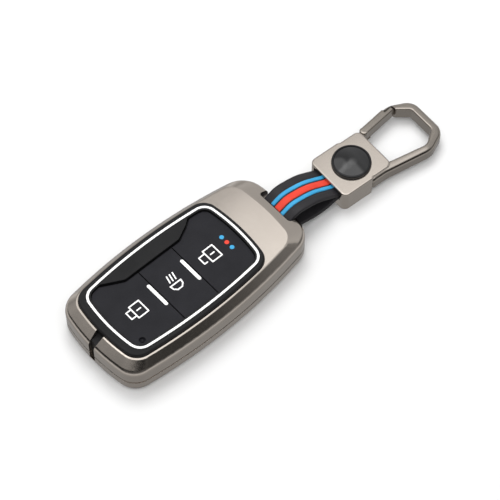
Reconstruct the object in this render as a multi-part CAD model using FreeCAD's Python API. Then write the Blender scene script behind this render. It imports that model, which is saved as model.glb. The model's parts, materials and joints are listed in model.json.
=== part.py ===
import FreeCAD, Part
import math
import os
from collections import namedtuple

os.makedirs("parts", exist_ok=True)
V = FreeCAD.Vector

# Cover for a key fob: two metal shells round two silicone sleeves, three key pads, and a strap that
# carries a buckle with a snap hook. Millimetres. The origin is at the middle of the case's back face,
# +Y points to the strap and +Z out of the key pads.

# Fits
overrun = 1.0               # reach of a cut past the piece that it cuts
seat_gap = 0.1              # between pieces that seat in one another
window_gap = 0.15           # between the sleeve's plug and the window
turn_gap = 0.05             # round a pin that something turns on
level_tolerance = 0.001     # for telling that an edge lies at a height

# Case outline: two long side arcs, two end arcs and four corner arcs
case_length = 84.1
case_width = 42.8
widest_place = -5.45        # where along Y the case is widest
side_radius = 208.0
end_radius = 75.0
foot_corner_radius = 7.6
ear_corner_radius = 9.0

# Case heights above the back face
parting_height = 4.7
crease_height = 10.4
lip_height = 13.9
rim_height = 15.2
pad_drop = 0.9              # of the key pads below the rim

# Shells
shell_wall = 1.6
shell_skin = 1.4            # thickness under the plateau
shoulder_drop = 0.7         # from the outer crease to the inner one
ceiling_inset = 1.3         # from the lip's outline to the inner ceiling's
back_thickness = 1.1
back_edge_radius = 2.0
parting_gap_height = 0.6    # of the shadow line above the rear shell
parting_gap_depth = 0.5
crease_radius = 3.0
lip_radius = 0.8
bevel_side = 2.85
bevel_foot = 3.9
bevel_ear = 7.7
lip_land = 0.5
lip_corner_radius = 6.6
plateau_length = 11.2
plateau_corner_radius = 6.0
cavity_corner_radius = 7.0
window_corner_radius = 6.2
back_window_inset = 7.0
back_window_corner_radius = 5.0
notch_depth = 4.6
pocket_depth = 6.85         # of the strap's pocket below the notch's edge
pocket_roof = 11.2
notch_width = 15.3
notch_shift = 1.0           # of the notch and its bar beside the case's middle
notch_corner_radius = 1.2
end_slot_width = 3.6        # at the window
end_slot_mouth = 2.6        # and at the case's end
tongue_height = 1.2
tongue_thickness = 0.7

# Strap bar and its saddles
bar_radius = 1.0
bar_length = 19.8
bar_inset = 3.3             # from the ears' ends
bar_height = 7.3
saddle_width = 2.8
saddle_length = 2.2

# Sleeves
sleeve_thickness = 1.2
sleeve_floor = 1.0
plug_wall = 1.45
plug_round = 0.75
roof_thickness = 1.8        # of the sleeve's rim round the key pads
rib_inset = 1.4             # of the rib in the end slot behind the case's end
rib_drop = 2.6              # of the rib's top below the lip
grip_groove_width = 1.2
grip_groove_depth = 0.5
grip_groove_pitch = 4.0
grip_groove_count = 4
grip_groove_start = 11.0    # from the middle of the back window

# Glow ring, set in the rim
ring_side_margin = 2.25     # from the window to the ring's centre line
ring_foot_margin = 3.3
ring_head_margin = 1.85
ring_corner_radius = 4.6
ring_width = 0.8
ring_depth = 0.6
inlay_proud = 0.04

# Key pads
field_margin = 1.05         # from the ring's centre line to the key field
pad_gap = 0.2
pad_groove = 0.35
flange_width = 0.6
flange_thickness = 0.4
groove_above = 7.15         # from the middle of the key field
groove_below = 7.3
island_width = 5.15         # of the raised island, from the key field's left edge
island_tail_width = 2.45
island_overlap = 1.25       # of its ends past that edge
island_foot = 2.575         # from the key field's foot end
island_foot_bend = 9.175
island_foot_turn = 14.175
island_head_turn = 15.975   # from the key field's head end
island_head_bend = 10.575
island_head = 5.775
island_bend_radius = 2.4
island_gap = 0.55           # between the island and the pads
indicator_inset = 3.55      # from the key field's right edge
indicator_place = 3.875     # from its foot end
indicator_radius = 1.15
indicator_foot_radius = 0.9
indicator_depth = 0.9
bump_radius = 0.55

# Inlays in the pads
inlay_depth = 0.3
stroke = 0.48
icon_x = 1.6
unlock_drop = 2.1625        # from the middle of its pad towards the foot
light_drop = 0.825
lock_drop = 0.1625
lock_half = 2.6
lock_foot = 3.0
lock_top = 1.1
shackle_half = 1.5
shackle_top = 3.2
open_shackle_top = 3.7
open_shackle_end = 2.5
keyhole_top = 0.2
keyhole_foot = 1.7
lamp_edge = 0.6
lamp_back = 3.0
lamp_shoulder = 2.0
lamp_half = 2.2
lamp_crown = 0.9
beam_start = 0.7
beam_end = 3.2
beam_drop = 0.6
beam_pitch = 1.25
dash_length = 10.0
dash_width = 1.2
dash_drop = 0.92            # from the groove's middle to the dash's
dot_radius = 0.8
dot_pitch = 2.6
accent_place = 4.575        # from the key field's head end

# Strap: one band folded round the bar, described by the corners of its centre line (reach, height)
strap_width = 13.4
strap_thickness = 1.4
strap_reach = 18.5          # free length from the ears to the buckle
strap_overlap = 1.15        # of the strap past the badge's middle, inside the buckle
strap_lean = 3.5            # degrees that strap and buckle lie askew towards +X
strap_shift = 0.5           # of the strap along its bar, from the notch's middle
layer_gap = 0.1
upper_layer_height = 6.1
mouth_reach = 0.4           # of the layers' bends before the buckle
upper_bend_reach = 9.2
upper_bend_height = 11.1
crest_reach = 0.8
crest_height = 12.3
loop_gap = 0.5              # between the folded strap and the bar
lower_bend_reach = 11.2
lower_bend_height = 2.3
mouth_radius = 4.0
upper_bend_radius = 18.0
crest_radius = 6.0
lower_bend_radius = 20.0
rib_height = 0.45
red_rib_width = 2.6
blue_rib_width = 1.5
rib_space = 0.45
rib_start = 3.2             # from the ears' ends towards the bar
rib_end = 1.4               # before the buckle

# Buckle
buckle_width = 19.1
buckle_length = 21.8
plate_width = 18.1          # beyond the skirt
plate_step = 1.0            # length of the step between these widths
plate_step_radius = 0.8
buckle_strap_corner = 2.2
buckle_hook_corner = 2.2
cover_floor = 7.7
cover_top = 8.6
cover_edge_radius = 0.6
skirt_wall = 1.2
skirt_overlap = 0.4         # of the skirt past the strap's end
mouth_side_gap = 0.3
boss_inset = 1.2
boss_half = 5.6
spacer_inset = 1.4          # from the buckle's hook end
spacer_length = 5.0
badge_radius = 6.9
badge_seat_depth = 0.4
badge_height = 1.6
badge_edge = 0.4
badge_rim = 0.7
badge_dish_depth = 0.2
dome_height = 1.3
badge_share = 0.5           # of the buckle's length
screw_x = 3.2
screw_place = 3.1           # from the badge's middle towards the strap
screw_radius = 0.9
screw_head_radius = 1.7
screw_head_height = 0.9
screw_end = 7.4
screw_sink = 0.1
screw_cross_depth = 0.5
screw_cross_width = 0.5
screw_clearance = 0.2

# Snap hook; its reaches run from the buckle's hook end
hook_floor = 1.2
hook_top = 6.8
hook_chamfer = 0.8          # below
hook_outer_round = 2.0      # above, on the outside
hook_inner_round = 0.7      # and on the inside
arm_root_half = 9.5
arm_root_inset = 2.7
flare_half = 12.2
flare_reach = 16.0
far_half = 8.15
hook_reach = 24.5
root_arm = 3.05             # width of the arms at the buckle
flare_arm = 2.9             # and at the bends
far_arm = 3.4               # and of the far bar
far_corner_inset = 2.85
flare_corner_drop = 0.1
loop_root_inset = 0.6
arm_corner_radius = 1.4
arm_root_radius = 12.0
flare_radius = 8.0
far_radius = 5.5
loop_root_radius = 0.8
loop_flare_radius = 4.0
loop_far_radius = 1.4

# Gate, its pin and its spring
gate_pivot_inset = 0.8      # from the arm's outside at the buckle
gate_pivot_rise = 2.9       # from the loop's root
gate_tip_inset = 1.45       # from the arm's outside at the bend
gate_tip_rise = 0.4         # past the bend
gate_width = 3.0
gate_heel_radius = 1.6
heel_gap = 0.4
gate_floor = 2.4
gate_end_gap = 0.3
gate_edge_radius = 0.8
lap_length = 3.0
lap_depth = 1.3
tab_gap = 0.1
pin_radius = 0.5
pin_cover = 1.2             # of the gate above its pin
spring_bore_radius = 1.0
spring_bore_depth = 1.8
spring_radius = 0.77
spring_wire = 0.1
spring_pitch = 0.3
spring_turns = 4
spring_leg = 0.7
spring_leg_gap = 0.06

# Places that follow from these
case_end = case_length / 2
notch_y = case_end - notch_depth
pocket_y = case_end - pocket_depth
bar_y = case_end - bar_inset
shoulder_height = crease_height - shoulder_drop
ceiling_height = lip_height - shell_skin
plug_root = (shoulder_height + ceiling_height) / 2
pad_height = rim_height - pad_drop
key_roof_height = rim_height - roof_thickness
pad_floor = key_roof_height - seat_gap
buckle_y = case_end + strap_reach
badge_y = buckle_y + buckle_length * badge_share
buckle_end = buckle_y + buckle_length
strap_end = badge_y + strap_overlap
skirt_end = strap_end + skirt_overlap
lower_layer_height = upper_layer_height - strap_thickness - layer_gap
strap_bed = lower_layer_height - strap_thickness / 2 - layer_gap
strap_roof = upper_layer_height + strap_thickness / 2 + layer_gap

Profile = namedtuple("Profile", "half low high side low_end high_end low_corner high_corner")


def grown(profile, distance):
    """The same outline moved outwards by a distance, all arcs kept concentric."""
    return Profile(profile.half + distance, profile.low - distance, profile.high + distance,
                   *(radius + distance for radius in profile[3:]))


case = Profile(case_width / 2, -case_end, case_end, side_radius, end_radius, end_radius,
               foot_corner_radius, ear_corner_radius)
cavity = grown(case, -shell_wall)._replace(high=pocket_y - shell_wall,
                                           high_corner=cavity_corner_radius)
lip = Profile(case.half - bevel_side, case.low + bevel_foot, case.high - bevel_ear,
              side_radius - bevel_side, end_radius - bevel_foot, end_radius,
              lip_corner_radius, plateau_corner_radius)
ceiling = grown(lip, -ceiling_inset)
window = grown(lip, -lip_land)._replace(high=lip.high - plateau_length,
                                        low_corner=window_corner_radius,
                                        high_corner=window_corner_radius)
ring = Profile(window.half - ring_side_margin, window.low + ring_foot_margin,
               window.high - ring_head_margin, window.side - ring_side_margin,
               window.low_end - ring_foot_margin, window.high_end - ring_head_margin,
               ring_corner_radius, ring_corner_radius)
field = grown(ring, -field_margin)
field_y = (field.low + field.high) / 2
back_window = grown(cavity, -back_window_inset)._replace(low_corner=back_window_corner_radius,
                                                         high_corner=back_window_corner_radius)
back_window_y = (back_window.low + back_window.high) / 2


def corner_arc(profile, side):
    """Centre of the right-hand corner at the low (-1) or high (1) end, and where it meets side and end."""
    end_radius_here, corner, end_y = ((profile.high_end, profile.high_corner, profile.high) if side > 0
                                      else (profile.low_end, profile.low_corner, profile.low))
    side_centre = V(profile.half - profile.side, widest_place, 0)
    end_centre = V(0, end_y - side * end_radius_here, 0)
    reach_a = profile.side - corner
    reach_b = end_radius_here - corner
    line = end_centre - side_centre
    along = (reach_a ** 2 - reach_b ** 2 + line.Length ** 2) / (2 * line.Length)
    across = math.sqrt(reach_a ** 2 - along ** 2)
    line.normalize()
    normal = V(-line.y, line.x, 0) * (side if line.x > 0 else -side)
    centre = side_centre + line * along + normal * across
    on_side = side_centre + (centre - side_centre).normalize() * profile.side
    on_end = end_centre + (centre - end_centre).normalize() * end_radius_here
    outwards = (on_side + on_end) / 2 - centre
    return on_side, centre + outwards.normalize() * corner, on_end


def outline(profile, z):
    """Closed wire of the eight tangent arcs of a profile at a height."""
    low_side, low_middle, low_end = corner_arc(profile, -1)
    high_side, high_middle, high_end = corner_arc(profile, 1)

    def at(point, mirror=1):
        return V(point.x * mirror, point.y, z)

    arcs = [
        (at(low_side), V(profile.half, widest_place, z), at(high_side)),
        (at(high_side), at(high_middle), at(high_end)),
        (at(high_end), V(0, profile.high, z), at(high_end, -1)),
        (at(high_end, -1), at(high_middle, -1), at(high_side, -1)),
        (at(high_side, -1), V(-profile.half, widest_place, z), at(low_side, -1)),
        (at(low_side, -1), at(low_middle, -1), at(low_end, -1)),
        (at(low_end, -1), V(0, profile.low, z), at(low_end)),
        (at(low_end), at(low_middle), at(low_side)),
    ]
    return Part.Wire([Part.Arc(*points).toShape() for points in arcs])


def stack(*levels):
    """Solid with straight flanks through (profile, height) levels."""
    return Part.makeLoft([outline(profile, z) for profile, z in levels], True, True)


def slab(profile, low, high):
    return Part.Face(outline(profile, low)).extrude(V(0, 0, high - low))


def block(x_low, x_high, y_low, y_high, z_low, z_high):
    return Part.makeBox(x_high - x_low, y_high - y_low, z_high - z_low, V(x_low, y_low, z_low))


def post(radius, x, y, z_low, z_high):
    return Part.makeCylinder(radius, z_high - z_low, V(x, y, z_low))


def edges_at(solid, z):
    """Edges that lie wholly at one height."""
    return [edge for edge in solid.Edges
            if all(abs(level - z) < level_tolerance for level in (edge.BoundBox.ZMin, edge.BoundBox.ZMax))]


def rim_edges(solid, z, outside):
    """Edges of the flat face at a height: those round its outside, or round its hole."""
    face = next(face for face in solid.Faces if face.BoundBox.ZLength < level_tolerance
                and abs(face.BoundBox.ZMin - z) < level_tolerance)
    return [edge for wire in face.Wires if wire.isSame(face.OuterWire) == outside for edge in wire.Edges]


def turn_at(before, corner, after):
    """Directions into and out of a corner, and the signed angle between them."""
    into = (corner - before).normalize()
    out = (after - corner).normalize()
    return into, out, math.atan2(into.x * out.y - into.y * out.x, into.dot(out))


def bends(points, radii, place):
    """Straight runs with a tangent arc at each inner corner; place sets a flat point in space."""
    edges = []
    start = points[0]
    for before, corner, after, radius in zip(points, points[1:], points[2:], radii):
        into, out, turn = turn_at(before, corner, after)
        run = radius * math.tan(abs(turn) / 2)
        first = corner - into * run
        last = corner + out * run
        towards = (out - into).normalize()
        middle = corner + towards * (radius / math.cos(turn / 2) - radius)
        edges.append(Part.LineSegment(place(start), place(first)).toShape())
        edges.append(Part.Arc(place(first), place(middle), place(last)).toShape())
        start = last
    edges.append(Part.LineSegment(place(start), place(points[-1])).toShape())
    return edges


def shifted(points, radii, distance):
    """A bent path moved to its left by a distance, its arcs kept concentric."""
    def left(direction):
        return V(-direction.y, direction.x, 0)

    moved = [points[0] + left((points[1] - points[0]).normalize()) * distance]
    new_radii = []
    for before, corner, after, radius in zip(points, points[1:], points[2:], radii):
        into, out, turn = turn_at(before, corner, after)
        moved.append(corner + (left(into) + left(out)) * (distance / (1 + into.dot(out))))
        new_radii.append(radius - distance * math.copysign(1, turn))
    moved.append(points[-1] + left((points[-1] - points[-2]).normalize()) * distance)
    return moved, new_radii


def rounded_prism(points, radii, low, high):
    """Upright prism on a closed outline with rounded corners."""
    start = (points[0] + points[-1]) / 2
    wire = Part.Wire(bends([start] + points + [start], radii, lambda p: V(p.x, p.y, low)))
    return Part.Face(wire).extrude(V(0, 0, high - low))


def polygon_prism(points, low, high):
    wire = Part.makePolygon([V(p.x, p.y, low) for p in points + points[:1]])
    return Part.Face(wire).extrude(V(0, 0, high - low))


def mirrored(points):
    """Points of a right-hand half outline, carried on round the left-hand half."""
    return points + [V(-p.x, p.y, 0) for p in reversed(points)]


def save(name, *solids):
    shape = solids[0] if len(solids) == 1 else Part.makeCompound(list(solids))
    shape.exportStep("parts/" + name + ".step")


def save_leaning(name, *solids):
    """Save a piece that hangs on the strap bar, turned with the strap's lean."""
    save(name, *(solid.rotated(V(0, bar_y, 0), V(0, 0, 1), -strap_lean).translated(
        V(notch_shift + strap_shift, 0, 0)) for solid in solids))


# Shells
def slot_plan(gap, y_low):
    """Plan of the tapered slot in the foot end, from a place to the window, narrower by a gap each side."""
    def half(y):
        share = (y - case.low) / (window.low - case.low)
        return (end_slot_mouth + (end_slot_width - end_slot_mouth) * share) / 2 - gap

    y_high = window.low + overrun
    return mirrored([V(half(y_low), y_low, 0), V(half(y_high), y_high, 0)])


notch_low = notch_shift - notch_width / 2
notch_high = notch_shift + notch_width / 2
notch_mouth_y = case_end + notch_corner_radius + overrun
notch = rounded_prism([V(notch_low, notch_mouth_y, 0), V(notch_low, notch_y, 0), V(notch_high, notch_y, 0),
                       V(notch_high, notch_mouth_y, 0)], [notch_corner_radius] * 4,
                      -overrun, lip_height + overrun)
pocket = block(notch_low, notch_high, pocket_y, notch_y + notch_corner_radius, -overrun, pocket_roof)
end_slot = polygon_prism(slot_plan(0, case.low - overrun), back_thickness, lip_height + overrun)
bar_low = notch_shift - bar_length / 2
bar_high = notch_shift + bar_length / 2
bar_seat = block(bar_low - seat_gap, bar_high + seat_gap,
                 bar_y - saddle_width / 2 - seat_gap, bar_y + saddle_width / 2 + seat_gap,
                 parting_height - overrun, bar_height)
shadow_top = parting_height + parting_gap_height
shadow_line = slab(grown(case, overrun), parting_height, shadow_top).cut(
    slab(grown(case, -parting_gap_depth), parting_height - overrun, shadow_top + overrun))


def bar_bore(gap):
    """Seat of the strap bar, wider and longer than the bar by a gap."""
    return Part.makeCylinder(bar_radius + gap, bar_length + 2 * seat_gap,
                             V(bar_low - seat_gap, bar_y, bar_height), V(1, 0, 0))


front_shell = stack((case, parting_height), (case, crease_height), (lip, lip_height))
front_shell = front_shell.makeFillet(crease_radius, edges_at(front_shell, crease_height))
front_shell = front_shell.makeFillet(lip_radius, edges_at(front_shell, lip_height))
front_shell = front_shell.cut([
    stack((cavity, parting_height - overrun), (cavity, shoulder_height), (ceiling, ceiling_height)),
    slab(window, plug_root, lip_height + overrun),
    slab(grown(cavity, tongue_thickness + seat_gap), parting_height - overrun,
         parting_height + tongue_height + seat_gap),
    shadow_line, end_slot, notch, pocket, bar_seat, bar_bore(seat_gap)])
save("front_shell", front_shell)

rear_shell = slab(case, 0, parting_height)
rear_shell = rear_shell.makeFillet(back_edge_radius, edges_at(rear_shell, 0))
tongue = slab(grown(cavity, tongue_thickness), back_thickness, parting_height + tongue_height)
saddles = [block(x, x + saddle_length, bar_y - saddle_width / 2, bar_y + saddle_width / 2,
                 back_thickness, bar_height - seat_gap)
           for x in (bar_low, bar_high - saddle_length)]
rear_shell = rear_shell.cut([notch, pocket]).fuse([tongue] + saddles)
rear_shell = rear_shell.cut([
    slab(cavity, back_thickness, bar_height),
    slab(back_window, -overrun, back_thickness + overrun),
    end_slot, bar_bore(0)])
save("rear_shell", rear_shell.removeSplitter())

strap_bar = Part.makeCylinder(bar_radius, bar_length, V(bar_low, bar_y, bar_height), V(1, 0, 0))
save("strap_bar", strap_bar)

# Sleeves
rear_sleeve = slab(grown(cavity, -seat_gap), back_thickness, parting_height - seat_gap)
rear_sleeve = rear_sleeve.cut(slab(grown(cavity, -seat_gap - sleeve_thickness),
                                   back_thickness + sleeve_floor, parting_height + overrun))
rear_sleeve = rear_sleeve.fuse(slab(grown(back_window, -seat_gap), 0, back_thickness + sleeve_floor))
for side in (-1, 1):
    for step in range(grip_groove_count):
        y = back_window_y + side * (grip_groove_start + grip_groove_pitch * step)
        rear_sleeve = rear_sleeve.cut(block(-back_window.half, back_window.half,
                                            y - grip_groove_width / 2, y + grip_groove_width / 2,
                                            -overrun, grip_groove_depth))
save("rear_sleeve", rear_sleeve.removeSplitter())

island_outer = -field.half - island_overlap
island_tail = -field.half + island_tail_width
island_inner = -field.half + island_width
island_path = [V(island_outer, field.low + island_foot, 0), V(island_tail, field.low + island_foot_bend, 0),
               V(island_inner, field.low + island_foot_turn, 0),
               V(island_inner, field.high - island_head_turn, 0),
               V(island_tail, field.high - island_head_bend, 0), V(island_outer, field.high - island_head, 0)]
island_radii = [island_bend_radius] * 4


def island_prism(gap, low, high):
    """The island's plan, its edge moved towards the pads by a gap."""
    path, radii = shifted(island_path, island_radii, -gap)
    edges = bends(path, radii, lambda p: V(p.x, p.y, low))
    corners = [path[-1], V(-case_width, path[-1].y, 0), V(-case_width, path[0].y, 0), path[0]]
    closing = Part.makePolygon([V(p.x, p.y, low) for p in corners]).Edges
    return Part.Face(Part.Wire(edges + closing)).extrude(V(0, 0, high - low))


sleeve_body = stack((grown(cavity, -seat_gap), parting_height), (grown(cavity, -seat_gap), shoulder_height),
                    (grown(ceiling, -seat_gap), ceiling_height - seat_gap))
plug = slab(grown(window, -window_gap), plug_root, rim_height)
plug = plug.makeFillet(plug_round, edges_at(plug, rim_height))
end_rib = polygon_prism(slot_plan(seat_gap, case.low + rib_inset), parting_height + seat_gap,
                        lip_height - rib_drop)
lining = -seat_gap - sleeve_thickness
key_opening = slab(field, plug_root, rim_height + overrun).cut(
    island_prism(0, plug_root - overrun, rim_height + 2 * overrun))
ring_groove = slab(grown(ring, ring_width / 2), rim_height - ring_depth, rim_height + overrun).cut(
    slab(grown(ring, -ring_width / 2), rim_height - ring_depth - overrun, rim_height + 2 * overrun))
front_sleeve = sleeve_body.fuse([plug, end_rib]).cut([
    stack((grown(cavity, lining), parting_height - overrun),
          (grown(cavity, lining), shoulder_height - shoulder_drop),
          (grown(ceiling, lining), ceiling_height + lining)),
    slab(grown(window, -window_gap - plug_wall), plug_root - overrun, key_roof_height),
    key_opening, ring_groove])
save("front_sleeve", front_sleeve)

ring_top = rim_height + inlay_proud
glow_ring = slab(grown(ring, ring_width / 2), rim_height - ring_depth, ring_top).cut(
    slab(grown(ring, -ring_width / 2), rim_height - ring_depth - overrun, ring_top + overrun))
save("glow_ring", glow_ring)


# Inlays. Their own axes are u to the left of the case (-X) and v towards its foot end (-Y).
def inlay_line(centre, points, width, closed=False):
    """Flat line with round ends and joints through (u, v) points."""
    places = [centre - V(u, v, 0) for u, v in points]
    low = pad_height - inlay_depth
    height = inlay_depth + inlay_proud
    pieces = [Part.makeCylinder(width / 2, height, V(p.x, p.y, low)) for p in places]
    for first, last in zip(places, places[1:] + (places[:1] if closed else [])):
        run = last - first
        across = V(-run.y, run.x, 0).normalize() * (width / 2)
        pieces.append(polygon_prism([first + across, last + across, last - across, first - across],
                                    low, low + height))
    return pieces[0].fuse(pieces[1:]).removeSplitter()


def padlock(centre, shackle):
    body = inlay_line(centre, [(-lock_half, -lock_foot), (lock_half, -lock_foot),
                               (lock_half, lock_top), (-lock_half, lock_top)], stroke, True)
    hole = inlay_line(centre, [(0, -keyhole_top), (0, -keyhole_foot)], stroke)
    bow = inlay_line(centre, shackle, stroke)
    return [body.fuse(bow).removeSplitter(), hole]


upper_edge = field_y + groove_above
lower_edge = field_y - groove_below
unlock_icon = padlock(V(icon_x, (upper_edge + field.high) / 2 - unlock_drop, 0),
                      [(shackle_half, lock_top), (shackle_half, open_shackle_top),
                       (-shackle_half, open_shackle_top), (-shackle_half, open_shackle_end)])
lock_icon = padlock(V(icon_x, (lower_edge + field.low) / 2 - lock_drop, 0),
                    [(shackle_half, lock_top), (shackle_half, shackle_top),
                     (-shackle_half, shackle_top), (-shackle_half, lock_top)])
lamp_centre = V(icon_x, (upper_edge + lower_edge) / 2 - light_drop, 0)
lamp = inlay_line(lamp_centre, [(-lamp_edge, -lamp_half), (-lamp_shoulder, -lamp_half + stroke / 2),
                                (-lamp_back, -lamp_crown), (-lamp_back, lamp_crown),
                                (-lamp_shoulder, lamp_half - stroke / 2), (-lamp_edge, lamp_half)],
                  stroke, True)
beams = [inlay_line(lamp_centre, [(beam_start, v), (beam_end, v - beam_drop)], stroke)
         for v in (-beam_pitch, 0, beam_pitch)]
light_icon = [lamp] + beams


def dash(groove_y):
    y = groove_y - dash_drop
    half = (dash_length - dash_width) / 2
    return inlay_line(V(icon_x, y, 0), [(-half, 0), (half, 0)], dash_width)


light_bar = dash(upper_edge)
lock_bar = dash(lower_edge)
accent_y = field.high - accent_place
blue_dots = [post(dot_radius, icon_x + x, accent_y, pad_height - inlay_depth, pad_height + inlay_proud)
             for x in (-dot_pitch, dot_pitch)]
red_dot = post(dot_radius, icon_x, accent_y, pad_height - inlay_depth, pad_height + inlay_proud)


def key_pad(y_low, y_high, inlays):
    """One pad with a flange that the sleeve's roof holds in."""
    band = block(-case_width, case_width, y_low, y_high, 0, rim_height + overrun)
    face = slab(grown(field, -pad_gap), pad_floor - flange_thickness, pad_height)
    face = face.cut(island_prism(island_gap, pad_floor, rim_height))
    flange = slab(grown(field, flange_width), pad_floor - flange_thickness, pad_floor)
    return face.fuse(flange).common(band).cut(inlays).removeSplitter()


unlock_pad = key_pad(upper_edge + pad_groove / 2, case_end, unlock_icon + blue_dots + [red_dot])
light_pad = key_pad(lower_edge + pad_groove / 2, upper_edge - pad_groove / 2, light_icon + [light_bar])
lock_pad = key_pad(-case_end, lower_edge - pad_groove / 2, lock_icon + [lock_bar])
dimple_x = field.half - indicator_inset
dimple_y = field.low + indicator_place
dimple_floor = pad_height - indicator_depth
dimple = Part.makeCone(indicator_foot_radius, indicator_radius, indicator_depth,
                       V(dimple_x, dimple_y, dimple_floor))
bump = Part.makeSphere(bump_radius, V(dimple_x, dimple_y, dimple_floor))
lock_pad = lock_pad.cut(dimple).fuse(bump.common(
    post(bump_radius, dimple_x, dimple_y, pad_floor, pad_height))).removeSplitter()
save("unlock_pad", unlock_pad)
save("light_pad", light_pad)
save("lock_pad", lock_pad)
save("unlock_icon", *unlock_icon)
save("light_icon", *light_icon)
save("lock_icon", *lock_icon)
save("light_pad_bar", light_bar)
save("lock_pad_bar", lock_bar)
save("accent_dots_blue", *blue_dots)
save("accent_dot_red", red_dot)


# Strap
def tangent_from(point, centre, radius, side):
    """Direction from a point that grazes a circle, which lies to its left (1) or right (-1)."""
    towards = centre - point
    angle = math.atan2(towards.y, towards.x) - side * math.asin(radius / towards.Length)
    return V(math.cos(angle), math.sin(angle), 0)


def crossing(first, along_first, second, along_second):
    """Where two flat lines cross."""
    apart = second - first
    share = ((apart.x * along_second.y - apart.y * along_second.x)
             / (along_first.x * along_second.y - along_first.y * along_second.x))
    return first + along_first * share


loop_centre = V(bar_y, bar_height, 0)
loop_radius = bar_radius + loop_gap + strap_thickness / 2
crest = V(case_end + crest_reach, crest_height, 0)
lower_bend = V(case_end + lower_bend_reach, lower_bend_height, 0)
fold = crossing(crest, tangent_from(crest, loop_centre, loop_radius, 1),
                lower_bend, tangent_from(lower_bend, loop_centre, loop_radius, -1))
strap_points = [V(strap_end, upper_layer_height, 0),
                V(buckle_y - mouth_reach, upper_layer_height, 0),
                V(case_end + upper_bend_reach, upper_bend_height, 0),
                crest, fold, lower_bend,
                V(buckle_y - mouth_reach, lower_layer_height, 0),
                V(strap_end, lower_layer_height, 0)]
strap_radii = [mouth_radius, upper_bend_radius, crest_radius, loop_radius, lower_bend_radius, mouth_radius]


def band(points, radii, outer, inner, x_low, x_high):
    """Band of one width between two distances to the right of a path in the YZ plane."""
    def place(p):
        return V(x_low, p.x, p.y)

    right = bends(*shifted(points, radii, -outer), place)
    left = bends(*shifted(points, radii, -inner), place)
    caps = [Part.LineSegment(right[0].valueAt(right[0].FirstParameter),
                             left[0].valueAt(left[0].FirstParameter)).toShape(),
            Part.LineSegment(right[-1].valueAt(right[-1].LastParameter),
                             left[-1].valueAt(left[-1].LastParameter)).toShape()]
    wire = Part.Wire(Part.__sortEdges__(right + left + caps))
    return Part.Face(wire).extrude(V(x_high - x_low, 0, 0))


screw_y = badge_y - screw_place
screws_x = (-screw_x, screw_x)
strap = band(strap_points, strap_radii, strap_thickness / 2, -strap_thickness / 2,
             -strap_width / 2, strap_width / 2)
strap = strap.cut([post(screw_radius + screw_clearance, x, screw_y, 0, cover_top) for x in screws_x])
save_leaning("strap", strap)


def between(first, last, y):
    """The point of a straight run that has one y."""
    return first + (last - first) * ((y - first.x) / (last.x - first.x))


rib_points = [between(strap_points[1], strap_points[2], buckle_y - rib_end), strap_points[2],
              strap_points[3], between(strap_points[3], strap_points[4], case_end - rib_start)]
rib_radii = strap_radii[1:3]


def rib(x_low, x_high):
    return band(rib_points, rib_radii, strap_thickness / 2 + rib_height, strap_thickness / 2, x_low, x_high)


blue_start = red_rib_width / 2 + rib_space
save_leaning("strap_rib_red", rib(-red_rib_width / 2, red_rib_width / 2))
save_leaning("strap_ribs_blue", rib(blue_start, blue_start + blue_rib_width),
             rib(-blue_start - blue_rib_width, -blue_start))

# Buckle
cover_plan = mirrored([V(buckle_width / 2, buckle_y, 0), V(buckle_width / 2, skirt_end, 0),
                       V(plate_width / 2, skirt_end + plate_step, 0), V(plate_width / 2, buckle_end, 0)])
cover_half_radii = [buckle_strap_corner, plate_step_radius, plate_step_radius, buckle_hook_corner]
cover_radii = cover_half_radii + cover_half_radii[::-1]
plate = rounded_prism(cover_plan, cover_radii, cover_floor, cover_top)
plate = plate.makeFillet(cover_edge_radius, edges_at(plate, cover_top))
skirt = rounded_prism(cover_plan, cover_radii, 0, cover_floor).cut([
    block(-buckle_width, buckle_width, skirt_end, buckle_end + overrun, -overrun, cover_top),
    block(-buckle_width / 2 + skirt_wall, buckle_width / 2 - skirt_wall, buckle_y + skirt_wall,
          buckle_end, -overrun, cover_top),
    block(-strap_width / 2 - mouth_side_gap, strap_width / 2 + mouth_side_gap, buckle_y - overrun,
          buckle_y + skirt_wall + overrun, strap_bed, cover_top)])
boss = block(-boss_half, boss_half, buckle_y + skirt_wall + boss_inset, strap_end - boss_inset,
             strap_roof, cover_floor)
spacer_end = buckle_end - spacer_inset
spacer = block(-boss_half, boss_half, spacer_end - spacer_length, spacer_end, hook_top, cover_floor)
seat_floor = cover_top - badge_seat_depth
cover = plate.fuse([skirt, boss, spacer]).cut(
    [post(badge_radius + seat_gap, 0, badge_y, seat_floor, cover_top + overrun)]
    + [post(screw_radius, x, screw_y, 0, screw_end + seat_gap) for x in screws_x])
save_leaning("buckle_cover", cover.removeSplitter())

badge_top = seat_floor + badge_height
badge_disc = post(badge_radius, 0, badge_y, seat_floor, badge_top)
badge_disc = badge_disc.makeFillet(badge_edge, edges_at(badge_disc, badge_top))
dish_floor = badge_top - badge_dish_depth
dome_radius = badge_radius - badge_rim
badge_disc = badge_disc.cut(post(dome_radius, 0, badge_y, dish_floor, badge_top + overrun))
save_leaning("badge_disc", badge_disc)
ball_radius = (dome_radius ** 2 + dome_height ** 2) / (2 * dome_height)
dome = Part.makeSphere(ball_radius, V(0, badge_y, dish_floor + dome_height - ball_radius))
dome = dome.common(post(dome_radius, 0, badge_y, dish_floor, badge_top + dome_height))
save_leaning("badge_dome", dome)

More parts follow.
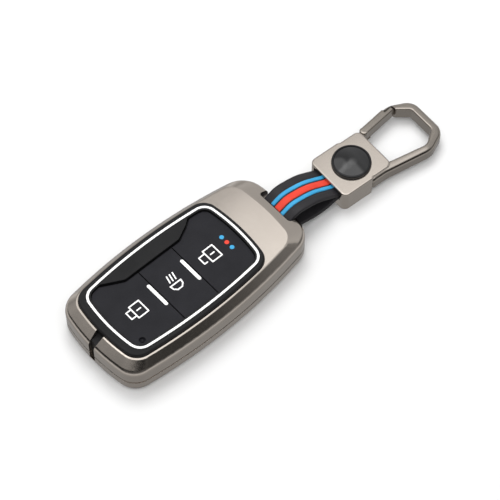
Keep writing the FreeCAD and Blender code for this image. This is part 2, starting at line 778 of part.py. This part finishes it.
# Snap hook
arm_root_y = buckle_end - arm_root_inset
loop_root_y = buckle_end - loop_root_inset
flare_y = buckle_end + flare_reach
hook_end = buckle_end + hook_reach
outer_plan = mirrored([V(arm_root_half, skirt_end + seat_gap, 0), V(arm_root_half, arm_root_y, 0),
                       V(flare_half, flare_y, 0), V(far_half, hook_end, 0)])
outer_half_radii = [arm_corner_radius, arm_root_radius, flare_radius, far_radius]
inner_plan = mirrored([V(arm_root_half - root_arm, loop_root_y, 0),
                       V(flare_half - flare_arm, flare_y - flare_corner_drop, 0),
                       V(far_half - far_corner_inset, hook_end - far_arm, 0)])
inner_half_radii = [loop_root_radius, loop_flare_radius, loop_far_radius]
hook = rounded_prism(outer_plan, outer_half_radii + outer_half_radii[::-1], hook_floor, hook_top)
hook = hook.cut(rounded_prism(inner_plan, inner_half_radii + inner_half_radii[::-1],
                              hook_floor - overrun, hook_top + overrun))
hook = hook.makeChamfer(hook_chamfer, edges_at(hook, hook_floor))
hook = hook.makeFillet(hook_outer_round, rim_edges(hook, hook_top, True))
hook = hook.makeFillet(hook_inner_round, rim_edges(hook, hook_top, False))
base_half = buckle_width / 2 - skirt_wall - seat_gap
base = block(-base_half, base_half, buckle_y + skirt_wall + seat_gap, arm_root_y, hook_floor, hook_top)
strap_bay = block(-strap_width / 2 - mouth_side_gap, strap_width / 2 + mouth_side_gap, buckle_y,
                  strap_end + mouth_side_gap, strap_bed, hook_top + overrun)

pivot = V(gate_pivot_inset - arm_root_half, loop_root_y + gate_pivot_rise, 0)
gate_line = V(gate_tip_inset - flare_half, flare_y + gate_tip_rise, 0) - pivot
gate_length = gate_line.Length
gate_line.normalize()
gate_out = V(-gate_line.y, gate_line.x, 0)


def on_gate(along, out):
    """Point at a distance along the gate and a distance outwards from its middle."""
    return pivot + gate_line * along + gate_out * out


tab_top = gate_floor - tab_gap
socket_radius = gate_heel_radius + heel_gap
lap_line = gate_width / 2 - lap_depth
gap_plan = [on_gate(socket_radius, -gate_width),
            on_gate(gate_length + gate_end_gap, -gate_width),
            on_gate(gate_length + gate_end_gap, lap_line + tab_gap),
            on_gate(gate_length - lap_length + gate_end_gap, lap_line + tab_gap),
            on_gate(gate_length - lap_length + gate_end_gap, gate_width),
            on_gate(socket_radius, gate_width)]
heel_plan = [on_gate(0, -gate_width), on_gate(gate_length / 2, -gate_width),
             on_gate(gate_length / 2, gate_width), on_gate(0, gate_width)]
leg_angle = math.atan2(gate_line.y, gate_line.x)
leg_place = on_gate(spring_radius, 0)
spring_floor = gate_floor + spring_wire
spring_top = spring_floor + spring_pitch * spring_turns
leg_hole = spring_wire + spring_leg_gap
screw_holes = [post(screw_radius + seat_gap, x, screw_y, 0, cover_floor) for x in screws_x]
head_floor = hook_floor + screw_sink
head_top = head_floor + screw_head_height
head_sinks = [Part.makeCone(screw_head_radius + screw_sink, screw_radius + seat_gap,
                            head_top - hook_floor, V(x, screw_y, hook_floor)) for x in screws_x]
frame = hook.fuse(base).cut([
    strap_bay,
    polygon_prism(gap_plan, 0, cover_floor),
    polygon_prism(heel_plan, tab_top, cover_floor),
    post(socket_radius, pivot.x, pivot.y, tab_top, cover_floor),
    post(pin_radius, pivot.x, pivot.y, 0, cover_floor),
    post(leg_hole, leg_place.x, leg_place.y, spring_floor - spring_leg - spring_leg_gap, cover_floor),
    ] + screw_holes + head_sinks)
save_leaning("snap_hook_frame", frame.removeSplitter())

gate_plan = [on_gate(0, -gate_width / 2), on_gate(gate_length, -gate_width / 2),
             on_gate(gate_length, lap_line), on_gate(gate_length - lap_length, lap_line),
             on_gate(gate_length - lap_length, gate_width / 2), on_gate(0, gate_width / 2)]
gate = polygon_prism(gate_plan, gate_floor, hook_top).fuse(
    post(gate_heel_radius, pivot.x, pivot.y, gate_floor, hook_top)).removeSplitter()
gate = gate.makeFillet(gate_edge_radius, edges_at(gate, hook_top))
gate = gate.cut([
    post(pin_radius + turn_gap, pivot.x, pivot.y, 0, hook_top - pin_cover),
    post(spring_bore_radius, pivot.x, pivot.y, gate_floor - overrun, gate_floor + spring_bore_depth),
    post(leg_hole, leg_place.x, leg_place.y, gate_floor, spring_top + spring_leg + spring_leg_gap)])
save_leaning("gate", gate)
save_leaning("gate_pin", post(pin_radius, pivot.x, pivot.y, hook_floor, hook_top - pin_cover - tab_gap))

coil_path = Part.makeHelix(spring_pitch, spring_top - spring_floor, spring_radius)
wire_section = Part.Wire(Part.makeCircle(spring_wire, V(spring_radius, 0, 0), V(0, 1, 0)))
coil = Part.Wire(coil_path).makePipeShell([wire_section], True, True)
legs = [post(spring_wire, spring_radius, 0, -spring_leg, 0),
        post(spring_wire, spring_radius, 0, spring_top - spring_floor,
             spring_top - spring_floor + spring_leg)]
joints = [Part.makeSphere(spring_wire, V(spring_radius, 0, z)) for z in (0, spring_top - spring_floor)]
spring = coil.fuse(legs + joints).removeSplitter()
spring.rotate(V(0, 0, 0), V(0, 0, 1), math.degrees(leg_angle))
spring.translate(V(pivot.x, pivot.y, spring_floor))
save_leaning("gate_spring", spring)

screws = []
for x in screws_x:
    head = Part.makeCone(screw_head_radius, screw_radius, screw_head_height, V(x, screw_y, head_floor))
    screw = head.fuse(post(screw_radius, x, screw_y, head_floor, screw_end))
    arm = screw_head_radius - screw_cross_width
    cross = [block(x - a, x + a, screw_y - b, screw_y + b, 0, head_floor + screw_cross_depth)
             for a, b in ((arm, screw_cross_width / 2), (screw_cross_width / 2, arm))]
    screws.append(screw.cut(cross).removeSplitter())
save_leaning("clamp_screws", *screws)
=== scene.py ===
import json
import math

import bpy
from mathutils import Matrix, Vector


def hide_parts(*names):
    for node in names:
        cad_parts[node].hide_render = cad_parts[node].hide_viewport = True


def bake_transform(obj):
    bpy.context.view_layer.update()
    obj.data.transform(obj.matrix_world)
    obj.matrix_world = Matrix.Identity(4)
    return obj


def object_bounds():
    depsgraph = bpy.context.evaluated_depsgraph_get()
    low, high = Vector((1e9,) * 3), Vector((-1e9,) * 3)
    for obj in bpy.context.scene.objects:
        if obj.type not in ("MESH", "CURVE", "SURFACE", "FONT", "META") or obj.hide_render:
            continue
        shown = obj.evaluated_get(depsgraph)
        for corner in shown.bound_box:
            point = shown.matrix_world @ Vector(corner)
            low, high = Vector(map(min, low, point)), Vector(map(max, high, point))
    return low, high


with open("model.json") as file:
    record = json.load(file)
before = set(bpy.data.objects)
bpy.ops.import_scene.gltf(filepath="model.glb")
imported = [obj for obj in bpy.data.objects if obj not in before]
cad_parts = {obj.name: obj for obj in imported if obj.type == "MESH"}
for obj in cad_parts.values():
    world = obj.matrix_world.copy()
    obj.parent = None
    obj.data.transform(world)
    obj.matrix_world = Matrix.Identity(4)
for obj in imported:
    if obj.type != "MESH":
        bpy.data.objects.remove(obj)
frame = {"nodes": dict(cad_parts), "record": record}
cad_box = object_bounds()
nodes = frame["nodes"]
MM = 0.001

# Camera, in degrees and millimetres
CAMERA_AZIMUTH = 47.93
CAMERA_ELEVATION = 58.0
CAMERA_DISTANCE = 680.2
CAMERA_TARGET = (2.5, 25.25, 0.2)
CAMERA_LENS = 144.0
CAMERA_SENSOR = 36.0

# Strap in millimetres. Its route is seen from the side before it leans: (y, z) corners, and the radii there
STRAP_CORNERS = [(72.6, 6.1), (60.15, 6.1), (51.25, 11.1), (42.85, 12.3), (32.64, 6.22), (53.25, 2.3),
                 (60.15, 4.6), (72.6, 4.6)]
STRAP_RADII = [4.0, 18.0, 6.0, 2.2, 20.0, 4.0]
STRAP_STEP = 0.35
STRAP_WIDTH = 13.4
STRAP_THICKNESS = 1.4
STRAP_EDGE = 0.6
STRAP_FACE_STEPS = 24
STRAP_EDGE_STEPS = 8
STRAP_LEAN = math.radians(3.5)
STRAP_SHIFT = 1.5
BAR_Y = 38.75

# Raised borders of the upper layer: across the band they rise from foot to top, along it they sink twice,
# before the buckle (by y) and at the fold (by share of the band's length)
BORDER_HEIGHT = 0.22
BORDER_FOOT = 3.55
BORDER_TOP = 4.05
BORDER_SINKS = (58.5, 60.5)
BORDER_FOLD = (0.42, 0.5)

# Ribs on the upper layer: finish, and (middle, width) across the band. They are lower before the buckle.
RIBS = {"strap_rib_red": ("red_silicone", [(0.0, 2.6)]),
        "strap_ribs_blue": ("blue_silicone", [(-2.5, 1.5), (2.5, 1.5)])}
RIB_HEIGHT = 0.45
RIB_DEPTH = 0.1
RIB_STEPS = 12
RIB_FULLNESS = 0.7
RIB_SINKS = (58.0, 60.6)
RIB_LOSS = 0.45
RIB_FIRST_Y = 61.2
RIB_LAST_Y = 38.7

# Materials: noise in features per metre, grain heights and edge radii in metres
NOISE_DETAIL = 3.0
NOISE_RANGE = (0.3, 0.7)
EDGE_SAMPLES = 4
METAL_CLOUDS = 60
METAL_SPECKS = 900
METAL_SPECK_SPREAD = 0.03
METAL_GRAIN = 12000
METAL_GRAIN_HEIGHT = 0.0000004
METAL_EDGE = 0.00015
SILICONE_CLOUDS = 150
SILICONE_SPECKS = 2500
SILICONE_SPECK_SPREAD = 0.06
SILICONE_GRAIN = 9000
SILICONE_GRAIN_HEIGHT = 0.000008
SILICONE_EDGE = 0.00012
SILICONE_SPECULAR = 0.25
PRINT_CLOUDS = 400
ENAMEL_CLOUDS = 800

# Studio around the part: sides that light comes from, and (place, level) pairs. A place is how far a
# direction faces that side, from straight away (0) to straight at (1); a height is a place towards +Z.
CEILING_SIDE = (-0.35, 0.2, 0.91)
CEILING_LEVELS = [(0.0, 0.02), (0.53, 0.02), (0.6, 0.06), (0.623, 0.13), (0.642, 0.36), (0.66, 0.45),
                  (0.7, 0.52), (0.79, 0.42), (0.87, 0.46), (0.99, 0.44)]
BACKDROP_LEVELS = [(0.0, 0.0), (0.5, 0.0), (0.66, 0.05), (0.74, 0.14), (0.82, 0.26), (0.9, 0.16), (1.0, 0.12)]
PANEL_ACROSS = [(0.0, 0.0), (0.285, 0.0), (0.325, 1.0)]
PANEL_ALONG = [(0.0, 1.0), (0.67, 1.0), (0.735, 0.0)]
PANEL_HEIGHTS = [(0.0, 0.0), (0.8, 0.0), (0.88, 1.1)]
GLOW_SIDE = (0.75, -0.66, 0.0)
GLOW_AROUND = [(0.0, 0.0), (0.8, 0.0), (0.9, 1.0)]
GLOW_HEIGHTS = [(0.0, 0.0), (0.5, 0.1), (0.66, 0.1), (0.71, 0.0)]
LAMP_SIDE = (-0.58, -0.22, 0.78)
LAMP_LEVELS = [(0.0, 0.0), (0.94, 0.0), (0.965, 0.75)]
GROUND_LEVELS = [(0.0, 0.24), (0.04, 0.28), (0.07, 0.4), (0.12, 0.4), (0.25, 0.5), (0.36, 0.8), (0.44, 0.5),
                 (0.5, 0.3)]
HORIZON = [(0.48, 0.0), (0.52, 1.0)]

# Lights in metres and watts: (name, place, size, power) of those that light the scene, (place, target) of
# the softboxes, which are only seen mirrored, and (size, power) of the discs in each
ROOM_LIGHTS = [("key", (-0.33, 0.23, 0.8), 0.5, 4.3), ("fill", (0.4, -0.25, 0.75), 0.9, 1.6)]
ROOM_TARGET = (0, 0.03, 0)
SOFTBOXES = [((-0.038, 0.079, 0.142), (0.015, 0.028, 0.014)),
             ((-0.042, 0.131, 0.15), (0.008, 0.08, 0.009))]
SOFTBOX_DISCS = [(0.02, 0.00035), (0.04, 0.0014), (0.06, 0.0032)]

# Floor, in metres
FLOOR_REACH = 4.0
FLOOR_GAP = 0.0002
FLOOR_SHADE = 0.7
FLOOR_ROUGHNESS = 0.9
FLOOR_SPECULAR = 0.1


# Route and mesh helpers
def link(name, data):
    item = bpy.data.objects.new(name, data)
    bpy.context.scene.collection.objects.link(item)
    return item


def bent_path(corners, radii, step):
    """Points and directions along straight runs joined by tangent arcs."""
    points = [Vector(c) for c in corners]
    path = []

    def run(first, last):
        count = max(1, round((last - first).length / step))
        heading = (last - first).normalized()
        path.extend((first.lerp(last, i / count), heading) for i in range(count))

    start = points[0]
    for before, corner, after, radius in zip(points, points[1:], points[2:], radii):
        into = (corner - before).normalized()
        out = (after - corner).normalized()
        turn = math.atan2(into.x * out.y - into.y * out.x, into.dot(out))
        reach = radius * math.tan(abs(turn) / 2)
        first = corner - into * reach
        run(start, first)
        side = math.copysign(1, turn)
        centre = first + Vector((-into.y, into.x)) * radius * side
        count = max(2, round(radius * abs(turn) / step))
        for i in range(count):
            spin = Matrix.Rotation(turn * i / count, 2)
            path.append((centre + spin @ (first - centre), spin @ into))
        start = corner + out * reach
    run(start, points[-1])
    path.append((points[-1], out))
    return path


def strap_place():
    """From the strap's own millimetres, turned about its bar to the way it lies, to metres."""
    pivot = Vector((0, BAR_Y, 0))
    return (Matrix.Scale(MM, 4) @ Matrix.Translation(pivot + Vector((STRAP_SHIFT, 0, 0)))
            @ Matrix.Rotation(-STRAP_LEAN, 4, "Z") @ Matrix.Translation(-pivot))


def sweep(name, path, section):
    """Closed mesh of a section, given as (across, out) points at each place of a path in the YZ plane."""
    verts = []
    faces = []
    place = strap_place()
    for index, (point, heading) in enumerate(path):
        out = Vector((heading.y, -heading.x))
        for across, height in section(index / (len(path) - 1), point):
            p = point + out * height
            verts.append(place @ Vector((across, p.x, p.y)))
    size = len(verts) // len(path)
    for i in range(len(path) - 1):
        for j in range(size):
            k = (j + 1) % size
            faces.append((i * size + j, i * size + k, (i + 1) * size + k, (i + 1) * size + j))
    faces.append(tuple(range(size - 1, -1, -1)))
    faces.append(tuple(range(len(verts) - size, len(verts))))
    mesh = bpy.data.meshes.new(name)
    mesh.from_pydata(verts, [], faces)
    mesh.validate()
    mesh.update()
    mesh.polygons.foreach_set("use_smooth", [True] * len(mesh.polygons))
    return link(name, mesh)


def smooth_step(low, high, value):
    t = min(1.0, max(0.0, (value - low) / (high - low)))
    return t * t * (3 - 2 * t)


# Materials
def new_material(name):
    material = bpy.data.materials.new(name)
    material.use_nodes = True
    return material, material.node_tree, material.node_tree.nodes["Principled BSDF"]


def noise(tree, scale):
    """Noise fixed to the piece, with a scale in features per metre."""
    place = tree.nodes.new("ShaderNodeTexCoord")
    texture = tree.nodes.new("ShaderNodeTexNoise")
    texture.inputs["Scale"].default_value = scale
    texture.inputs["Detail"].default_value = NOISE_DETAIL
    tree.links.new(place.outputs["Object"], texture.inputs["Vector"])
    return texture.outputs["Fac"]


def spread(tree, value, low, high):
    """Maps a noise value to a range."""
    node = tree.nodes.new("ShaderNodeMapRange")
    node.inputs["From Min"].default_value = NOISE_RANGE[0]
    node.inputs["From Max"].default_value = NOISE_RANGE[1]
    node.inputs["To Min"].default_value = low
    node.inputs["To Max"].default_value = high
    tree.links.new(value, node.inputs["Value"])
    return node.outputs["Result"]


def clouds(tree, shader, scale, dark, light):
    """Colour that drifts between two shades."""
    node = tree.nodes.new("ShaderNodeMix")
    node.data_type = "RGBA"
    node.inputs["A"].default_value = (*dark, 1)
    node.inputs["B"].default_value = (*light, 1)
    tree.links.new(spread(tree, noise(tree, scale), 0, 1), node.inputs["Factor"])
    tree.links.new(node.outputs["Result"], shader.inputs["Base Color"])


def specks(tree, shader, scale, roughness, width):
    """Roughness that differs from speck to speck."""
    tree.links.new(spread(tree, noise(tree, scale), roughness - width, roughness + width),
                   shader.inputs["Roughness"])


def grain(tree, shader, scale, height, edge):
    """Bump, over edges softened by a radius."""
    bump = tree.nodes.new("ShaderNodeBump")
    bump.inputs["Distance"].default_value = height
    tree.links.new(noise(tree, scale), bump.inputs["Height"])
    soft = tree.nodes.new("ShaderNodeBevel")
    soft.samples = EDGE_SAMPLES
    soft.inputs["Radius"].default_value = edge
    tree.links.new(soft.outputs["Normal"], bump.inputs["Normal"])
    tree.links.new(bump.outputs["Normal"], shader.inputs["Normal"])


def satin_metal(name, dark, light, roughness):
    material, tree, shader = new_material(name)
    shader.inputs["Metallic"].default_value = 1.0
    clouds(tree, shader, METAL_CLOUDS, dark, light)
    specks(tree, shader, METAL_SPECKS, roughness, METAL_SPECK_SPREAD)
    grain(tree, shader, METAL_GRAIN, METAL_GRAIN_HEIGHT, METAL_EDGE)
    return material


def silicone(name, dark, light, roughness):
    material, tree, shader = new_material(name)
    shader.inputs["Specular IOR Level"].default_value = SILICONE_SPECULAR
    clouds(tree, shader, SILICONE_CLOUDS, dark, light)
    specks(tree, shader, SILICONE_SPECKS, roughness, SILICONE_SPECK_SPREAD)
    grain(tree, shader, SILICONE_GRAIN, SILICONE_GRAIN_HEIGHT, SILICONE_EDGE)
    return material


def print_white(name, dark, light, roughness):
    material, tree, shader = new_material(name)
    clouds(tree, shader, PRINT_CLOUDS, dark, light)
    shader.inputs["Roughness"].default_value = roughness
    return material


def enamel(name, dark, light, roughness, gloss, index):
    """Dark base below a clear coat with its own roughness and index of refraction."""
    material, tree, shader = new_material(name)
    clouds(tree, shader, ENAMEL_CLOUDS, dark, light)
    shader.inputs["Roughness"].default_value = roughness
    shader.inputs["Specular IOR Level"].default_value = 0.0
    shader.inputs["Coat Weight"].default_value = 1.0
    shader.inputs["Coat Roughness"].default_value = gloss
    shader.inputs["Coat IOR"].default_value = index
    return material


# How each finish is made: its darkest and lightest shade, its roughness, and a coat's gloss and index
FINISHES = {
    "satin_metal": (satin_metal, (0.52, 0.467, 0.415), (0.56, 0.505, 0.452), 0.16),
    "hook_metal": (satin_metal, (0.35, 0.315, 0.28), (0.39, 0.351, 0.312), 0.18),
    "pin_steel": (satin_metal, (0.52, 0.52, 0.53), (0.60, 0.60, 0.61), 0.3),
    "black_silicone": (silicone, (0.006, 0.006, 0.0065), (0.009, 0.009, 0.0095), 0.5),
    "strap_silicone": (silicone, (0.016, 0.0155, 0.0175), (0.021, 0.020, 0.0225), 0.45),
    "pad_silicone": (silicone, (0.008, 0.008, 0.0105), (0.011, 0.011, 0.014), 0.55),
    "white_inlay": (print_white, (0.86, 0.86, 0.85), (0.93, 0.93, 0.92), 0.45),
    "red_silicone": (silicone, (0.62, 0.045, 0.025), (0.70, 0.06, 0.035), 0.45),
    "blue_silicone": (silicone, (0.035, 0.28, 0.52), (0.05, 0.33, 0.58), 0.45),
    "black_enamel": (enamel, (0.002, 0.002, 0.0025), (0.004, 0.004, 0.005), 0.2, 0.05, 1.4),
    "clear_black_dome": (enamel, (0.002, 0.002, 0.0025), (0.004, 0.004, 0.005), 0.12, 0.12, 1.68),
}
finishes = {name: make(name, *looks) for name, (make, *looks) in FINISHES.items()}


def paint(piece, finish):
    piece.data.materials.clear()
    piece.data.materials.append(finishes[finish])


for part in frame["record"]["subparts"]:
    paint(nodes[part["node"]], part["material_slot"])
for hook_part in ("snap_hook_frame", "gate"):
    paint(nodes[hook_part], "hook_metal")


# Strap
def strap_section(share, point):
    """Band with rounded edges and, on the upper layer, raised borders beside the ribs."""
    half = STRAP_WIDTH / 2
    flat = half - STRAP_EDGE
    thick = STRAP_THICKNESS / 2
    upper = 1 - smooth_step(*BORDER_FOLD, share)
    border = BORDER_HEIGHT * upper * (1 - smooth_step(*BORDER_SINKS, point.x))
    top = []
    bottom = []
    for i in range(STRAP_FACE_STEPS + 1):
        across = flat * (2 * i / STRAP_FACE_STEPS - 1)
        top.append((across, thick + border * smooth_step(BORDER_FOOT, BORDER_TOP, abs(across))))
        bottom.append((-across, -thick))
    edge = []
    for i in range(1, STRAP_EDGE_STEPS):
        angle = math.pi / 2 - math.pi * i / STRAP_EDGE_STEPS
        rise = math.sin(angle)
        edge.append((flat + STRAP_EDGE * math.cos(angle), thick * rise + border * max(0.0, rise)))
    return top + edge + bottom + [(-a, h) for a, h in reversed(edge)]


def rib_section(centre, width):
    """Rib with a rounded top, sunk a little into the band."""
    half = width / 2
    base = STRAP_THICKNESS / 2

    def section(share, point):
        height = RIB_HEIGHT * (1 - RIB_LOSS * smooth_step(*RIB_SINKS, point.x))
        ring = [(centre - half, base - RIB_DEPTH)]
        for i in range(RIB_STEPS + 1):
            angle = math.pi * i / RIB_STEPS
            ring.append((centre - half * math.cos(angle), base + height * math.sin(angle) ** RIB_FULLNESS))
        return ring + [(centre + half, base - RIB_DEPTH)]
    return section


def flexible(piece, finish):
    """Paints a piece of the strap and bakes its place into its mesh."""
    paint(piece, finish)
    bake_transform(piece)


def add_strap():
    path = bent_path(STRAP_CORNERS, STRAP_RADII, STRAP_STEP)
    band = sweep("strap_band", path, strap_section)
    flexible(band, "strap_silicone")
    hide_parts("strap")
    fold = next(i for i, (point, heading) in enumerate(path) if point.x < RIB_LAST_Y)
    upper = [(point, heading) for point, heading in path[:fold] if point.x <= RIB_FIRST_Y]
    for node, (colour, places) in RIBS.items():
        for number, (centre, width) in enumerate(places):
            rib = sweep(f"{node}_{number}", upper, rib_section(centre, width))
            flexible(rib, colour)
            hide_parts(node)


def add_spring():
    """Copy of the gate's spring mesh in steel, in place of the original."""
    coil = link("gate_spring_coil", nodes["gate_spring"].data.copy())
    paint(coil, "pin_steel")
    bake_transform(coil)
    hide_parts("gate_spring")


# Floor, light and camera
def add_floor():
    mesh = bpy.data.meshes.new("floor")
    corners = ((-1, -1), (1, -1), (1, 1), (-1, 1))
    mesh.from_pydata([(x * FLOOR_REACH, y * FLOOR_REACH, 0) for x, y in corners], [], [(0, 1, 2, 3)])
    floor = link("floor", mesh)
    material, tree, shader = new_material("pale_floor")
    shader.inputs["Base Color"].default_value = (FLOOR_SHADE, FLOOR_SHADE, FLOOR_SHADE, 1)
    shader.inputs["Roughness"].default_value = FLOOR_ROUGHNESS
    shader.inputs["Specular IOR Level"].default_value = FLOOR_SPECULAR
    mesh.materials.append(material)
    floor.visible_glossy = False
    floor.location.z = cad_box[0].z - FLOOR_GAP


def ramp(tree, value, levels):
    """Grey levels by place along a value from 0 to 1."""
    node = tree.nodes.new("ShaderNodeValToRGB")
    marks = node.color_ramp.elements
    marks.remove(marks[1])
    marks[0].position = levels[0][0]
    marks[0].color = (levels[0][1],) * 3 + (1,)
    for at, level in levels[1:]:
        marks.new(at).color = (level,) * 3 + (1,)
    tree.links.new(value, node.inputs["Fac"])
    return node.outputs["Color"]


def facing(tree, way, direction):
    """How far a direction faces a fixed one, from 0 to 1."""
    dot = tree.nodes.new("ShaderNodeVectorMath")
    dot.operation = "DOT_PRODUCT"
    dot.inputs[1].default_value = Vector(direction).normalized()
    tree.links.new(way, dot.inputs[0])
    share = tree.nodes.new("ShaderNodeMapRange")
    share.inputs["From Min"].default_value = -1
    tree.links.new(dot.outputs["Value"], share.inputs["Value"])
    return share.outputs["Result"]


def blended(tree, kind, first, second, factor=None):
    """Mix of two colours, in full or by a factor."""
    node = tree.nodes.new("ShaderNodeMix")
    node.data_type = "RGBA"
    node.blend_type = kind
    node.inputs["Factor"].default_value = 1.0
    if factor is not None:
        tree.links.new(factor, node.inputs["Factor"])
    tree.links.new(first, node.inputs["A"])
    tree.links.new(second, node.inputs["B"])
    return node.outputs["Result"]


def add_studio():
    """Surroundings for the metal to mirror: a ceiling that falls off to dark on one side, a backdrop, an
    overhead panel, a lamp, a low glow from the dark side, and the pale ground."""
    world = bpy.data.worlds.new("studio")
    bpy.context.scene.world = world
    world.use_nodes = True
    tree = world.node_tree
    way = tree.nodes.new("ShaderNodeTexCoord").outputs["Generated"]
    across, along, height = [facing(tree, way, side) for side in ((1, 0, 0), (0, 1, 0), (0, 0, 1))]
    panel = ramp(tree, height, PANEL_HEIGHTS)
    for value, levels in ((across, PANEL_ACROSS), (along, PANEL_ALONG)):
        panel = blended(tree, "MULTIPLY", panel, ramp(tree, value, levels))
    glow = blended(tree, "MULTIPLY", ramp(tree, height, GLOW_HEIGHTS),
                   ramp(tree, facing(tree, way, GLOW_SIDE), GLOW_AROUND))
    backdrop = ramp(tree, along, BACKDROP_LEVELS)
    lamp = ramp(tree, facing(tree, way, LAMP_SIDE), LAMP_LEVELS)
    above = ramp(tree, facing(tree, way, CEILING_SIDE), CEILING_LEVELS)
    for light in (backdrop, panel, lamp, glow):
        above = blended(tree, "ADD", above, light)
    total = blended(tree, "MIX", ramp(tree, height, GROUND_LEVELS), above, ramp(tree, height, HORIZON))
    tree.links.new(total, tree.nodes["Background"].inputs["Color"])


def add_light(name, place, target, size, power, mirrored):
    """Round lamp that either lights the scene or is only seen mirrored."""
    data = bpy.data.lights.new(name, "AREA")
    data.shape = "DISK"
    data.size = size
    data.energy = power
    lamp = link(name, data)
    lamp.location = place
    lamp.rotation_euler = (Vector(place) - Vector(target)).to_track_quat("Z", "Y").to_euler()
    lamp.visible_glossy = mirrored
    lamp.visible_diffuse = not mirrored


def add_lights():
    for name, place, size, power in ROOM_LIGHTS:
        add_light(name, place, ROOM_TARGET, size, power, False)
    for place, target in SOFTBOXES:
        for size, power in SOFTBOX_DISCS:
            add_light("softbox", place, target, size, power, True)


def add_camera():
    data = bpy.data.cameras.new("camera")
    data.lens = CAMERA_LENS
    data.sensor_width = CAMERA_SENSOR
    camera = link("camera", data)
    around = math.radians(CAMERA_AZIMUTH)
    up = math.radians(CAMERA_ELEVATION)
    back = Vector((math.sin(around) * math.cos(up), -math.cos(around) * math.cos(up), math.sin(up)))
    camera.location = (Vector(CAMERA_TARGET) + back * CAMERA_DISTANCE) * MM
    camera.rotation_euler = back.to_track_quat("Z", "Y").to_euler()
    bpy.context.scene.camera = camera


add_strap()
add_spring()
add_floor()
add_studio()
add_lights()
add_camera()
bpy.context.scene.view_settings.view_transform = "Standard"
